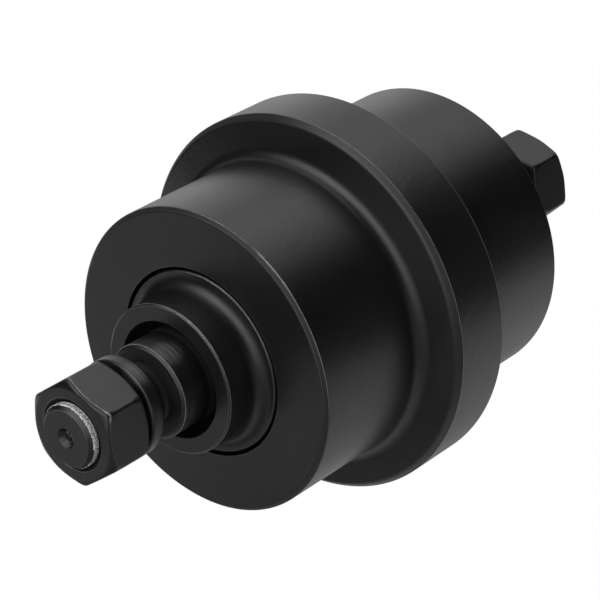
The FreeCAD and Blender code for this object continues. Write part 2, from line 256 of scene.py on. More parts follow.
shellWearAndShade = {
    # station and radius of each edge, and how far it is rubbed
    "rubs": [(57.42, 47.9, 0.25), (56.4, 48.9, 1.0), (9.75, 62.2, 0.75), (57.5, 30.5, 0.3)],
    # the same, how wide and how strong the painted shade beside the edge is, and where it is darkest; the paint
    # there is made darker and duller
    "shadeRings": [(56.9, 48.4, 1.0, 0.5, (-10.0, -56.9, 47.3)), (10.6, 61.3, 1.7, 0.12, (-4.0, -10.6, 61.2))],
    "shadeReach": 32.0, "shadeMost": 0.95,
    "keptSpot": (34.0, -56.8, 34.8), "keptReach": 3.4,
    "scrapedSpot": (40.1, -56.4, 28.0), "scrapedReach": 12.0, "scrapedEdge": (56.3, 48.95),
    "scrapeWidth": (0.32, 0.15), "scrapeRagged": 0.7 * mm, "scrapeSize": 0.8 * mm,
    "marks": 0.8,
}
collarWearAndShade = {
    "rubs": [(71.1, 23.45, 0.35), (70.6, 24.0, 0.9), (71.05, 18.7, 0.3), (57.45, 28.9, 0.2)],
    "chips": [(57.4, 29.0, 0.3), (70.85, 23.75, 0.5)],
    # how deep in the recess and how near its wall the paint is out of the light, darkened there as painted shade
    "pitDepth": (71.0, 69.6), "pitWall": (18.9, 18.75),
    "marks": 0.8,
}


def roundPaint(name, wear):
    material, sheet = newMaterial(name)
    place, along, radius = roundPlace(sheet)[:3]
    rubAndHighlight = onRings(sheet, rubLine, place, along, radius, wear["rubs"])
    if "keptSpot" in wear:  # a short stretch of the edges that isn't rubbed
        rubAndHighlight = rubAndHighlight * (1.0 - spotOf(sheet, place, wear["keptSpot"], wear["keptReach"]))
    if "scrapedSpot" in wear:  # a stretch of one edge rubbed broad and bright
        ragged = (sheet.noise(place, wear["scrapeSize"], 3.0, 0.7) - 0.5) * wear["scrapeRagged"]
        line = sheet.fadeOver(nearRing(sheet, along, radius, *wear["scrapedEdge"]) + ragged, *wear["scrapeWidth"])
        rubAndHighlight = sheet.greatest(rubAndHighlight, line * spotOf(sheet, place, wear["scrapedSpot"], wear["scrapedReach"]))
    chips = onRings(sheet, chipSpots, place, along, radius, wear["chips"]) if "chips" in wear else None
    paintedShade = None
    # painted shade in the recess of the collar
    if "pitDepth" in wear:
        paintedShade = sheet.fadeOver(along, *wear["pitDepth"]) * sheet.fadeOver(radius, *wear["pitWall"])
    # painted shade: bands beside two edges made darker and duller, strongest round one spot
    if "shadeRings" in wear:
        rings = []
        for station, reach, width, weight, darkest in wear["shadeRings"]:
            ring = sheet.fadeOver(nearRing(sheet, along, radius, station, reach), width, 0.5 * width)
            paintedShadingSpot = spotOf(sheet, place, darkest, wear["shadeReach"])
            rings.append(ring * (paintedShadingSpot * (wear["shadeMost"] - weight) + weight))
        paintedShade = sheet.greatest(*rings)
    finishPaint(sheet, place, turnedMarks(sheet, along, radius, wear["marks"]), rubAndHighlight, chips, paintedShade)
    return material


shellPaint = roundPaint("shellPaint", shellWearAndShade)
collarPaint = roundPaint("collarPaint", collarWearAndShade)


# Shaft paint: bare worn thread crests at the ends, turning marks on the spigots, ground steel inside, painted shade
# in the recess and beside the washer, and a painted highlight on one spigot

shaftFinish = {
    "rubs": [(81.0, 14.1, 0.15), (80.1, 14.9, 0.8), (114.0, 8.7, 0.4), (112.7, 9.95, 0.9)],
    # the stations or radii in millimetres over which each fades in
    "inside": (61.95, 61.85), "pit": (70.4, 69.0),
    "shoulder": (80.9, 81.0), "shoulderRadius": (13.8, 13.3), "shoulderEnd": (95.0, 90.0),
    "spigot": (62.0, 62.3), "spigotEnd": (80.6, 80.0), "highlightEnd": (80.2, 79.6),
    "wearAndGlint": (110.8, 111.0), "wornEnd": (112.9, 112.65), "wornRadius": (9.35, 9.6),
    "wornSide": (-8, 3, 0.35, 1.0),
    "marks": 0.7, "spigotMarks": 70.0,
    "darkSpot": (10.5, -81.0, 6.0), "darkReach": 11.0, "darkShare": 0.4,
    "highlightSpot": (9.6, -77.0, 11.5), "highlightReach": 6.0, "highlightShare": 0.30, "highlightStreakSize": 0.4 * mm,
    "tornSize": 1.1 * mm, "tornReach": 1.3 * mm, "speckleSize": 0.42 * mm, "speckleShare": 0.6,
    "lineSize": 0.55 * mm, "lineSlant": 0.02, "scratchSize": 0.30 * mm, "scratchHeight": 0.02,
    "highlightLevels": (0.42, 0.60), "speckleLevels": (0.30, 0.42), "grainLevels": (0.42, 0.53),
    "crestColour": (0.95, 0.945, 0.93, 1), "crestDark": (0.16, 0.16, 0.16, 1), "crestRoughness": 0.42,
    "crestMetal": 0.2, "groundColour": (0.56, 0.565, 0.57, 1), "groundRoughness": 0.28,
}


def shaftMaterial():
    look = shaftFinish
    material, sheet = newMaterial("shaftPaint")
    place, along, radius, across = roundPlace(sheet)[:4]
    inside = sheet.fadeOver(along, *look["inside"])
    # painted shade in the recess round the spigot's root
    pit = sheet.fadeOver(along, *look["pit"]) * (1.0 - inside)
    # painted shade: the shoulder and the thread beside it lie in the shade of the washer, darkest round one spot
    shoulder = sheet.fadeOver(along, *look["shoulder"]) * sheet.fadeOver(radius, *look["shoulderRadius"])
    shoulder = shoulder * sheet.fadeOver(along, *look["shoulderEnd"])
    shade = spotOf(sheet, place, look["darkSpot"], look["darkReach"]) * look["darkShare"] + (1 - look["darkShare"])
    paintedShade = sheet.greatest(pit, shoulder * shade)
    spigot = sheet.fadeOver(along, *look["spigot"]) * sheet.fadeOver(along, *look["spigotEnd"])
    marks = turnedMarks(sheet, along, radius, spigot * look["spigotMarks"] + look["marks"])
    # a painted highlight: lighter streaks over the turning marks round one spot on top of the spigot
    paintedHighlight = sheet.fade(sheet.streaks(along, look["highlightStreakSize"], 1.0), *look["highlightLevels"])
    paintedHighlight = paintedHighlight * sheet.fadeOver(along, *look["highlightEnd"]) * look["highlightShare"]
    paintedHighlight = paintedHighlight * spotOf(sheet, place, look["highlightSpot"], look["highlightReach"])
    rubAndHighlight = sheet.greatest(onRings(sheet, rubLine, place, along, radius, look["rubs"]), paintedHighlight)
    # the crests of the last turns of thread are bare, up to a torn line
    torn = along + (sheet.noise(place, look["tornSize"], 3.0, 0.7) - 0.5) * look["tornReach"]
    band = sheet.fadeOver(along, *look["wearAndGlint"]) * sheet.fadeOver(torn, *look["wornEnd"])
    crest = sheet.fadeOver(radius, *look["wornRadius"]) * sheet.fadeOver(across, *look["wornSide"])
    speckle = sheet.noise(place, look["speckleSize"], 3.0, 0.65)
    lines = sheet.streaks(along + across * look["lineSlant"], look["lineSize"], 1.0)
    wearAndGlint = band * crest * sheet.fade(speckle, *look["speckleLevels"])
    grain = speckle * look["speckleShare"] + lines * (1 - look["speckleShare"])
    steel = sheet.mix(sheet.fade(grain, *look["grainLevels"]), look["crestDark"], look["crestColour"])
    steel = sheet.mix(inside, steel, look["groundColour"])
    gloss = look["crestRoughness"] - inside * (look["crestRoughness"] - look["groundRoughness"])
    scratches = sheet.noise(place, look["scratchSize"], 2.0) * band * look["scratchHeight"]
    bare = (sheet.greatest(wearAndGlint, inside), steel, gloss, scratches, sheet.greatest(inside, wearAndGlint * look["crestMetal"]))
    finishPaint(sheet, place, marks, rubAndHighlight, None, paintedShade, bare)
    return material


shaftPaint = shaftMaterial()


# Inside the roller: bronze bushes, iron seal rings, rubber rings, spring steel rings

innerMetal = {
    "markSize": 0.35 * mm, "patchGloss": 0.16, "patchLevels": (0.35, 0.68),
    # colour, darker colour, roughness, size of the patches and height of the marks
    "bushBronze": ((0.62, 0.40, 0.19, 1), (0.45, 0.28, 0.13, 1), 0.34, 7 * mm, 0.004),
    "sealIron": ((0.42, 0.42, 0.43, 1), (0.24, 0.24, 0.25, 1), 0.40, 5 * mm, 0.003),
    "springSteel": ((0.012, 0.012, 0.013, 1), (0.007, 0.007, 0.007, 1), 0.72, 4 * mm, 0.003),
}
rubber = {
    "colour": (0.014, 0.014, 0.014, 1), "paler": (0.026, 0.026, 0.026, 1), "roughness": 0.58,
    "patchSize": 3 * mm, "patchGloss": 0.15, "patchLevels": (0.3, 0.7),
    "grainSize": 0.35 * mm, "grainHeight": 0.006,
}


def plainMetal(name):
    colour, darker, roughness, patchSize, markHeight = innerMetal[name]
    material, sheet = newMaterial(name)
    place, along, radius = roundPlace(sheet)[:3]
    patches = sheet.noise(place, patchSize, 4.0, 0.6)
    marks = sheet.streaks(along + radius, innerMetal["markSize"])
    surface(sheet, marks * markHeight + patches * markHeight, {
        "Base Color": sheet.mix(sheet.fade(patches, *innerMetal["patchLevels"]), colour, darker),
        "Roughness": (patches - 0.5) * innerMetal["patchGloss"] + roughness, "Metallic": 1.0})
    return material


def rubberMaterial():
    material, sheet = newMaterial("sealRubber")
    place = sheet.objectPlace()
    patches = sheet.noise(place, rubber["patchSize"], 3.0, 0.6)
    surface(sheet, sheet.noise(place, rubber["grainSize"]) * rubber["grainHeight"], {
        "Base Color": sheet.mix(sheet.fade(patches, *rubber["patchLevels"]), rubber["colour"], rubber["paler"]),
        "Roughness": (patches - 0.5) * rubber["patchGloss"] + rubber["roughness"]})
    return material


bushBronze = plainMetal("bushBronze")
sealIron = plainMetal("sealIron")
springSteel = plainMetal("springSteel")
sealRubber = rubberMaterial()
print("materials made")


# Turned pieces are spun from outlines of station, radius and rounding, in millimetres

lathe = {
    "support": 0.06, "arcStep": 12, "sharpAbove": 32,
    "mergeWithin": 0.002 * mm, "emptyBelow": 0.0005 * mm,
}


def roundCorners(corners):  # a closed outline with its corners rounded
    outline = []
    for index, (station, radius, rounding) in enumerate(corners):
        here = Vector((station, radius))
        if rounding == 0:
            outline.append((station, radius))
            continue
        before = (Vector(corners[index - 1][:2]) - here).normalized()
        after = (Vector(corners[(index + 1) % len(corners)][:2]) - here).normalized()
        half = before.angle(after) / 2
        reach = rounding / math.tan(half)
        middle = here + (before + after).normalized() * (rounding / math.sin(half))
        first = here + before * reach - middle
        last = here + after * reach - middle
        turn = math.pi - 2 * half
        steps = max(2, math.ceil(turn / math.radians(lathe["arcStep"])))
        outline.append(tuple(here + before * (reach + lathe["support"])))
        for step in range(steps + 1):
            share = step / steps
            arm = (first * math.sin((1 - share) * turn) + last * math.sin(share * turn)) / math.sin(turn)
            outline.append(tuple(middle + arm))
        outline.append(tuple(here + after * (reach + lathe["support"])))
    return outline


def spin(mesh, profile, around):  # turns (station, radius) corners about the shaft's axis
    rings = []
    for station, radius in profile:
        if radius == 0:
            rings.append([mesh.verts.new((0, station * mm, 0))])
            continue
        rings.append([mesh.verts.new((
            radius * mm * math.sin(2 * math.pi * step / around), station * mm,
            radius * mm * math.cos(2 * math.pi * step / around))) for step in range(around)])
    for first, second in zip(rings, rings[1:]):
        for step in range(around):
            following = (step + 1) % around
            corners = [first[step % len(first)], first[following % len(first)],
                       second[following % len(second)], second[step % len(second)]]
            distinct = list(dict.fromkeys(corners))
            if len(distinct) > 2:
                mesh.faces.new(distinct)


def finishPiece(mesh, name, material, body, node, sharpAbove=lathe["sharpAbove"]):
    bmesh.ops.remove_doubles(mesh, verts=mesh.verts, dist=lathe["mergeWithin"])
    bmesh.ops.dissolve_degenerate(mesh, edges=mesh.edges, dist=lathe["emptyBelow"])
    bmesh.ops.recalc_face_normals(mesh, faces=mesh.faces)
    gaps = sum(1 for edge in mesh.edges if len(edge.link_faces) != 2)
    data = bpy.data.meshes.new(name)
    mesh.to_mesh(data)
    mesh.free()
    data.materials.clear()
    data.materials.append(material)
    for face in data.polygons:
        face.material_index = 0
    data.shade_smooth()
    data.set_sharp_from_angle(angle=math.radians(sharpAbove))
    piece = bpy.data.objects.new(name, data)
    bpy.context.scene.collection.objects.link(piece)
    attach(piece, body)
    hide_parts(node)
    print(name, "made with", len(data.polygons), "faces and", gaps, "open edges")


# Roller shell: tread on both sides of a tapered flange, seal housings at its ends, bush seats inside

shell = {
    "around": 240,
    "half": [
        (12.4, 23.51, 0), (12.4, 21.51, 0), (36.4, 21.51, 0), (36.4, 25.01, 0), (39.4, 25.01, 0),
        (39.4, 26.6, 0), (47.3, 28.4, 0), (47.3, 30.4, 0), (57.5, 30.4, 0.15),
        (57.5, 47.8, 0.9), (56.3, 49.0, 0.55), (14.0, 49.0, 4.2), (11.6, 60.73, 2.0), (9.8, 62.2, 0.2),
    ],
}


def shellPiece():
    half = shell["half"]
    outline = roundCorners(half + [(-station, radius, rounding) for station, radius, rounding in reversed(half)])
    mesh = bmesh.new()
    spin(mesh, outline + outline[:1], shell["around"])
    finishPiece(mesh, "rollerShell", shellPaint, "roller_group", "roller_shell")


# Side collars: a boss with a deep recess, a filleted root, a flat face, the sealing lip and the hub

collar = {
    "around": 180,
    "outline": [
        (39.7, 15.02, 0), (49.9, 15.02, 0), (49.9, 17.12, 0), (52.9, 17.12, 0), (52.9, 15.02, 0),
        (62.0, 15.02, 0), (62.0, 18.6, 0.8), (71.1, 18.6, 0.3), (71.1, 23.5, 0.15), (70.6, 24.0, 0.15),
        (57.5, 24.0, 4.2), (57.5, 28.9, 0.1), (57.1, 29.3, 0.1), (47.8, 29.3, 0), (47.8, 28.4, 0),
        (53.4, 26.6, 0), (53.4, 20.2, 0), (39.7, 20.2, 0),
    ],
}


def collarPiece(end, side):
    outline = [(side * station, radius) for station, radius in roundCorners(collar["outline"])]
    mesh = bmesh.new()
    spin(mesh, outline + outline[:1], collar["around"])
    finishPiece(mesh, end + "Collar", collarPaint, "shaft_group", end + "_collar")


# Geometry trees, and the plain meshes that they grow

def newTree(name, floats, counts):
    tree = bpy.data.node_groups.new(name, "GeometryNodeTree")
    kinds = {**dict.fromkeys(floats, "Float"), **dict.fromkeys(counts, "Int"), "finish": "Material"}
    for item, kind in kinds.items():
        tree.interface.new_socket(item, in_out="INPUT", socket_type="NodeSocket" + kind)
    tree.interface.new_socket("Geometry", in_out="OUTPUT", socket_type="NodeSocketGeometry")
    sheet = Sheet(tree)
    given = sheet.node("NodeGroupInput")
    return tree, sheet, {item: sheet.take(given, item) for item in kinds}


def endTree(sheet, geometry, finish):
    whole = sheet.node("GeometryNodeRealizeInstances", None, {"Geometry": geometry})
    dressed = sheet.node("GeometryNodeSetMaterial", None, {"Geometry": sheet.take(whole), "Material": finish})
    sheet.node("NodeGroupOutput", None, {"Geometry": sheet.take(dressed)})


def grownMesh(tree, settings):  # what a node tree makes, as a plain mesh
    carrier = bpy.data.objects.new("carrier", bpy.data.meshes.new("carrier"))
    bpy.context.scene.collection.objects.link(carrier)
    modifier = carrier.modifiers.new("growth", "NODES")
    modifier.node_group = tree
    for item in tree.interface.items_tree:
        if item.in_out == "INPUT":
            modifier[item.identifier] = settings[item.name]
    bpy.context.view_layer.update()
    made = bpy.data.meshes.new_from_object(carrier.evaluated_get(bpy.context.evaluated_depsgraph_get()))
    bpy.data.objects.remove(carrier)
    return made


# Shaft: one turned piece whose two stubs carry a real screw thread

shaft = {
    "bearing": 18.0, "hubEnd": 39.7, "spigot": 15.0, "grooveFrom": 62.0, "grooveTo": 64.1, "grooveRadius": 13.8,
    "spigotEnd": 81.0, "spigotChamfer": 1.0, "edgeRounding": 0.8, "stub": 10.0, "end": 114.0, "endRadius": 8.65,
    "markRadius": 3.15, "markSlope": 1.75, "markDepth": 2.3, "markRings": 14,
    "fillSize": 1.9, "fillHeight": 1.3, "fillLift": 0.15, "fillSeed": 7.0,
}
stub = {
    "lengths": {
        "outerRadius": 10.0, "threadDepth": 0.92, "pitch": 1.5, "start": 81.0, "end": 114.0, "chamfer": 1.35,
        "runOutFrom": 81.6, "runOutTo": 84.2, "wornFrom": 109.0, "wornTo": 111.0,
    },
    "wornShare": 0.04, "rowsPerPitch": 16, "around": 90,
    "rootFlat": 0.25, "crestFlat": 0.125, "rowShift": 0.0001,  # shares of the pitch
}


def threadTree():
    tree, sheet, value = newTree("threadedStub", [*stub["lengths"], "wornShare", "side"], ["rows", "columns"])
    grid = sheet.node("GeometryNodeMeshGrid", None, {
        "Size X": 1.0, "Size Y": 1.0, "Vertices X": value["columns"], "Vertices Y": value["rows"]})
    gridX, gridY = sheet.parts(sheet.take(sheet.node("GeometryNodeInputPosition")))[:2]
    turn = gridX + 0.5
    row = (gridY + 0.5) * (value["end"] - value["start"] + value["pitch"])
    climb = value["start"] - value["pitch"] + row + turn * value["pitch"]
    along = sheet.math("MINIMUM", sheet.greatest(climb, value["start"]), value["end"])
    wave = sheet.math("ABSOLUTE", sheet.math("FRACT", row / value["pitch"] + stub["rowShift"]) * 2.0 - 1.0)
    groove = sheet.fade(wave, stub["rootFlat"], 1 - stub["crestFlat"], 1.0, 0.0, "LINEAR")  # 1 at the root
    depth = value["threadDepth"] * groove * sheet.fade(along, value["runOutFrom"], value["runOutTo"])
    depth = depth * sheet.fade(along, value["wornFrom"], value["wornTo"], 1.0, value["wornShare"])
    slanted = value["outerRadius"] - value["chamfer"] + (value["end"] - along)
    radius = sheet.math("MINIMUM", value["outerRadius"] - depth, slanted)
    angle = turn * (2 * math.pi)
    place = sheet.node("ShaderNodeCombineXYZ", None, {
        "X": radius * sheet.math("SINE", angle) * value["side"],
        "Y": along * value["side"],
        "Z": radius * sheet.math("COSINE", angle)})
    moved = sheet.node("GeometryNodeSetPosition", None, {
        "Geometry": sheet.take(grid, "Mesh"), "Position": sheet.take(place)})
    closed = sheet.node("GeometryNodeMergeByDistance", None, {
        "Geometry": sheet.take(moved), "Distance": lathe["mergeWithin"]})
    endTree(sheet, sheet.take(closed), value["finish"])
    return tree


def threadMesh(tree, side):
    sizes = stub["lengths"]
    turns = (sizes["end"] - sizes["start"] + sizes["pitch"]) / sizes["pitch"]
    settings = {name: size * mm for name, size in sizes.items()}
    settings.update(wornShare=stub["wornShare"], side=float(side), finish=shaftPaint,
                    rows=round(turns * stub["rowsPerPitch"]) + 1, columns=stub["around"] + 1)
    return grownMesh(tree, settings)


def centreMark(mesh, side):  # the centre drilling, half filled by runs of thick paint
    around, rings = stub["around"], shaft["markRings"]
    circles = []
    for ring in range(rings):
        radius = shaft["markRadius"] * (1 - ring / rings)
        bore = min((shaft["markRadius"] - radius) * shaft["markSlope"], shaft["markDepth"])
        circle = []
        for step in range(around):
            angle = 2 * math.pi * step / around
            across, above = radius * math.sin(angle), radius * math.cos(angle)
            run = noise.noise(Vector((across, above, shaft["fillSeed"] * side)) / shaft["fillSize"])
            filled = max(0.0, run + shaft["fillLift"]) * shaft["fillHeight"] * min(1.0, bore)
            station = shaft["end"] - max(bore - filled, 0.0)
            circle.append(mesh.verts.new((across * mm, side * station * mm, above * mm)))
        circles.append(circle)
    tip = mesh.verts.new((0, side * (shaft["end"] - shaft["markDepth"]) * mm, 0))
    for outer, inner in zip(circles, circles[1:]):
        for step in range(around):
            mesh.faces.new((outer[step], outer[step - 1], inner[step - 1], inner[step]))
    for step in range(around):
        mesh.faces.new((circles[-1][step], circles[-1][step - 1], tip))


def shaftPiece():
    half = [
        (shaft["hubEnd"], shaft["bearing"], 0), (shaft["hubEnd"], shaft["spigot"], 0),
        (shaft["grooveFrom"], shaft["spigot"], 0), (shaft["grooveFrom"], shaft["grooveRadius"], 0),
        (shaft["grooveTo"], shaft["grooveRadius"], 0), (shaft["grooveTo"], shaft["spigot"], 0),
        (shaft["spigotEnd"] - shaft["spigotChamfer"], shaft["spigot"], shaft["edgeRounding"]),
        (shaft["spigotEnd"], shaft["spigot"] - shaft["spigotChamfer"], shaft["edgeRounding"]),
        (shaft["spigotEnd"], shaft["stub"], 0),
    ]
    capRadii = (shaft["endRadius"], shaft["markRadius"] + lathe["support"], shaft["markRadius"])
    mesh = bmesh.new()
    body = [(-station, radius, rounding) for station, radius, rounding in reversed(half)] + half
    spin(mesh, roundCorners(body), stub["around"])
    tree = threadTree()
    for side in (1, -1):
        spin(mesh, [(side * shaft["end"], radius) for radius in capRadii], stub["around"])
        centreMark(mesh, side)
        thread = threadMesh(tree, side)
        mesh.from_mesh(thread)
        bpy.data.meshes.remove(thread)
    finishPiece(mesh, "turnedShaft", shaftPaint, "shaft_group", "shaft")


# Nuts: hexagons with a chamfer cone at both ends that runs softly into the flats

nut = {
    "acrossFlats": 30.0, "face": 111.5, "back": 95.5, "turn": {"front": -10.6, "rear": 4.5},
    "bore": 10.05, "boreEdge": 11.5, "countersink": 1.45,
    "faceRadius": 14.73, "faceRing": 0.7, "coneSlope": 0.576, "coneLeast": 0.03,
    "flatStart": 0.75, "curveSteps": 6, "sharpAbove": 35,
    # the corners' rounding at the ends of the nut and between them, and how far in from its chamfer it changes
    "endRounding": 2.6, "cornerRounding": 1.1, "endReach": 3.2, "endSteps": 6,
    # degrees from a corner at which the outline is cut
    "offsets": [0.3, 0.65, 1.05, 1.5, 2.0, 2.6, 3.3, 4.1, 5.0, 6.5, 9, 13, 18, 24],
}
nutFinish = {
    "rubbed": {"front": 1.0, "rear": 0.25}, "rubBrighterAbove": (-4, 7, 0.25, 1.0), "boreRubbed": 0.5, "marks": 0.3,
    "glintCorner": (15.6, -109.7, 5.4), "glintReach": 2.6, "glintWidth": (0.5, 0.25),
    "glintLevels": (0.36, 0.48, 0.2, 1.0), "flats": (14.7, 14.9), "offFlats": 5 * mm, "sinkShade": (11.35, 11.0),
}


def nutReach(offset, rounding):  # from the axis to the hexagon's outline
    half = nut["acrossFlats"] / 2
    slant, turned = math.radians(30), math.radians(abs(offset))
    hub = (half - rounding) / math.cos(slant)
    if turned >= math.atan2(rounding * math.sin(slant), hub + rounding * math.cos(slant)):
        return half / math.cos(slant - turned)
    return hub * math.cos(turned) + math.sqrt(rounding ** 2 - (hub * math.sin(turned)) ** 2)


def nutEdge(offset):  # depth and radius from the bore over one end of the nut to its side
    reach = nutReach(offset, nut["endRounding"])
    corner = Vector(((reach - nut["faceRadius"]) * nut["coneSlope"], reach))
    cone = corner - Vector((0, nut["faceRadius"]))
    start = corner - cone.normalized() * min(nut["flatStart"], cone.length - nut["coneLeast"])
    finish = corner + Vector((nut["flatStart"], 0))
    edge = [Vector((nut["countersink"], nut["bore"])), Vector((0, nut["boreEdge"])),
            Vector((0, nut["faceRadius"] - nut["faceRing"])), Vector((0, nut["faceRadius"]))]
    for step in range(nut["curveSteps"] + 1):
        share = step / nut["curveSteps"]
        edge.append(start * (1 - share) ** 2 + corner * (2 * share * (1 - share)) + finish * share ** 2)
    for step in range(1, nut["endSteps"] + 1):  # the corners grow sharper away from the ends
        share = step / nut["endSteps"]
        sharper = (nut["endRounding"] - nut["cornerRounding"]) * share * share * (3 - 2 * share)
        edge.append(Vector((finish[0] + nut["endReach"] * share, nutReach(offset, nut["endRounding"] - sharper))))
    return edge


def nutMaterial(end, side):
    look = nutFinish
    material, sheet = newMaterial(end + "NutPaint")
    place, along, radius, across, above = roundPlace(sheet)
    # the angle from the middle of the nearest flat, 30 degrees at a corner, kept positive by whole turns
    angle = sheet.math("ARCTAN2", across * float(side), above)
    sixth = math.radians(60)
    turned = angle - math.radians(nut["turn"][end]) + 8 * math.pi
    fromFlat = sheet.math("ABSOLUTE", sheet.math("MODULO", turned, sixth) - sixth / 2)
    reach = (nut["acrossFlats"] / 2 * mm) / sheet.math("COSINE", fromFlat)
    drop = (reach - nut["faceRadius"] * mm) * nut["coneSlope"] + nut["flatStart"] * mm
    # the line where the chamfer runs into the flats is the one that hands and spanners rub; it is painted brighter
    # towards the top, a painted highlight where the light falls
    onFlats = sheet.fadeOver(radius, *look["flats"])
    edge = sheet.math("ABSOLUTE", (nut["face"] * mm - drop) - along) + (1.0 - onFlats) * look["offFlats"]
    boreEdge = nearRing(sheet, along, radius, nut["face"], nut["boreEdge"])
    rubAndHighlight = sheet.greatest(
        rubLine(sheet, place, edge, look["rubbed"][end]) * sheet.fadeOver(above, *look["rubBrighterAbove"]),
        rubLine(sheet, place, boreEdge, look["boreRubbed"]))
    # a painted highlight: a bright bit of the rubbed line at one corner of the chamfer
    fine = sheet.noise(place, paint["chipSize"], 2.0, 0.6)
    wearAndGlint = spotOf(sheet, place, look["glintCorner"], look["glintReach"])
    wearAndGlint = wearAndGlint * sheet.fadeOver(edge, *look["glintWidth"]) * sheet.fade(fine, *look["glintLevels"])
    marks = turnedMarks(sheet, along, radius, look["marks"])
    # painted shade in the countersink round the bore
    finishPaint(sheet, place, marks, sheet.greatest(rubAndHighlight, wearAndGlint), None, sheet.fadeOver(radius, *look["sinkShade"]))
    return material


def nutPiece(end, side):
    offsets = [-offset for offset in reversed(nut["offsets"])] + [0] + nut["offsets"] + [30]
    mesh = bmesh.new()
    columns = []
    for corner in range(6):
        for offset in offsets:
            angle = math.radians(nut["turn"][end] + 60 * corner + offset)
            edge = nutEdge(offset)
            outline = [(nut["face"] - depth, radius) for depth, radius in edge]
            outline += [(nut["back"] + depth, radius) for depth, radius in reversed(edge)]
            columns.append([mesh.verts.new((
                side * radius * mm * math.sin(angle), side * station * mm,
                radius * mm * math.cos(angle))) for station, radius in outline])
    for first, second in zip(columns, columns[1:] + columns[:1]):
        for row in range(len(first)):
            mesh.faces.new((first[row - 1], first[row], second[row], second[row - 1]))
    finishPiece(mesh, end + "Nut", nutMaterial(end, side), "shaft_group", end + "_nut", nut["sharpAbove"])


# Spring washers: one turn of square bar that climbs, swept by a node tree

washer = {
    "lengths": {"meanRadius": 12.9, "wide": 4.8, "thick": 5.0, "edgeRounding": 1.1, "rise": 3.5, "middle": 93.0},
    "share": 0.97, "turn": {"front": 103.0, "rear": 40.0}, "stepsPerTurn": 144, "arcSteps": 5,
}
washerFinish = {
    "edgeInset": 0.45, "faceRubbed": 0.7, "backRubbed": 1.2, "marks": 3.0,
    "sheenSpot": (10.6, -91.6, 10.9), "sheenReach": 5.5, "sheenShare": 0.16,
    "streakSize": 0.5 * mm, "streakSlant": 0.5, "streakLevels": (0.35, 0.60),
}


def washerTree():
    tree, sheet, value = newTree("springWasher", [*washer["lengths"], "share", "turn", "side"],
                                 ["stepsPerTurn", "arcSteps"])
    spiral = sheet.node("GeometryNodeCurveSpiral", None, {
        "Resolution": value["stepsPerTurn"], "Rotations": value["share"], "Start Radius": value["meanRadius"],
        "End Radius": value["meanRadius"], "Height": value["rise"], "Reverse": True})
    upright = sheet.node("GeometryNodeSetCurveNormal", {"mode": "Z_UP"}, {"Curve": sheet.take(spiral)})
    section = sheet.node("GeometryNodeCurvePrimitiveQuadrilateral", {"mode": "RECTANGLE"}, {
        "Width": value["wide"], "Height": value["thick"]})
    rounded = sheet.node("GeometryNodeFilletCurve", {"mode": "POLY"}, {
        "Curve": sheet.take(section), "Count": value["arcSteps"], "Radius": value["edgeRounding"]})
    swept = sheet.node("GeometryNodeCurveToMesh", None, {
        "Curve": sheet.take(upright), "Profile Curve": sheet.take(rounded), "Fill Caps": True})
    first, second, climb = sheet.parts(sheet.take(sheet.node("GeometryNodeInputPosition")))
    sine, cosine = sheet.math("SINE", value["turn"]), sheet.math("COSINE", value["turn"])
    place = sheet.node("ShaderNodeCombineXYZ", None, {
        "X": (first * sine + second * cosine) * value["side"],
        "Y": (value["middle"] - climb) * value["side"],
        "Z": first * cosine - second * sine})
    moved = sheet.node("GeometryNodeSetPosition", None, {
        "Geometry": sheet.take(swept), "Position": sheet.take(place)})
    endTree(sheet, sheet.take(moved), value["finish"])
    return tree


def washerMaterial(end, side):
    sizes, look = washer["lengths"], washerFinish
    material, sheet = newMaterial(end + "WasherPaint")
    place, along, radius, across, above = roundPlace(sheet)
    # the bar's two outer edges climb with it, a little less than its thickness apart
    angle = sheet.math("ARCTAN2", across * float(side), above) - math.radians(washer["turn"][end]) + 4 * math.pi
    climb = sheet.math("FRACT", angle / (2 * math.pi)) * (sizes["rise"] / washer["share"] * mm)
    endways = along + climb - (sizes["middle"] + sizes["thick"] / 2 - look["edgeInset"]) * mm
    outward = radius - (sizes["meanRadius"] + sizes["wide"] / 2 - look["edgeInset"]) * mm
    behind = endways + (sizes["thick"] - 2 * look["edgeInset"]) * mm
    streaks = sheet.streaks(along + radius * look["streakSlant"], look["streakSize"])
    # a painted highlight: lighter streaks round one spot on top of the washer
    paintedShadingSpot = spotOf(sheet, place, look["sheenSpot"], look["sheenReach"]) * look["sheenShare"]
    rubAndHighlight = sheet.greatest(
        rubLine(sheet, place, sheet.diagonal(endways, outward), look["faceRubbed"]),
        rubLine(sheet, place, sheet.diagonal(behind, outward), look["backRubbed"]),
        paintedShadingSpot * sheet.fade(streaks, *look["streakLevels"]))
    finishPaint(sheet, place, turnedMarks(sheet, along, radius, look["marks"]), rubAndHighlight)
    return material


def washerPiece(tree, end, side):
    settings = {name: size * mm for name, size in washer["lengths"].items()}
    settings.update({name: washer[name] for name in ("share", "stepsPerTurn", "arcSteps")})
    settings.update(turn=math.radians(washer["turn"][end]), side=float(side), finish=washerMaterial(end, side))
    made = grownMesh(tree, settings)
    mesh = bmesh.new()
    mesh.from_mesh(made)
    finishPiece(mesh, end + "SpringWasher", made.materials[0], "shaft_group", end + "_spring_washer")
    bpy.data.meshes.remove(made)


shellPiece()
shaftPiece()
washerNodes = washerTree()
for end, side in (("front", -1), ("rear", 1)):
    collarPiece(end, side)
    nutPiece(end, side)
    washerPiece(washerNodes, end, side)


# Finishes of the pieces that keep their solids

def dress(node, material):
    data = nodes[node].data
    data.materials.clear()
    data.materials.append(material)


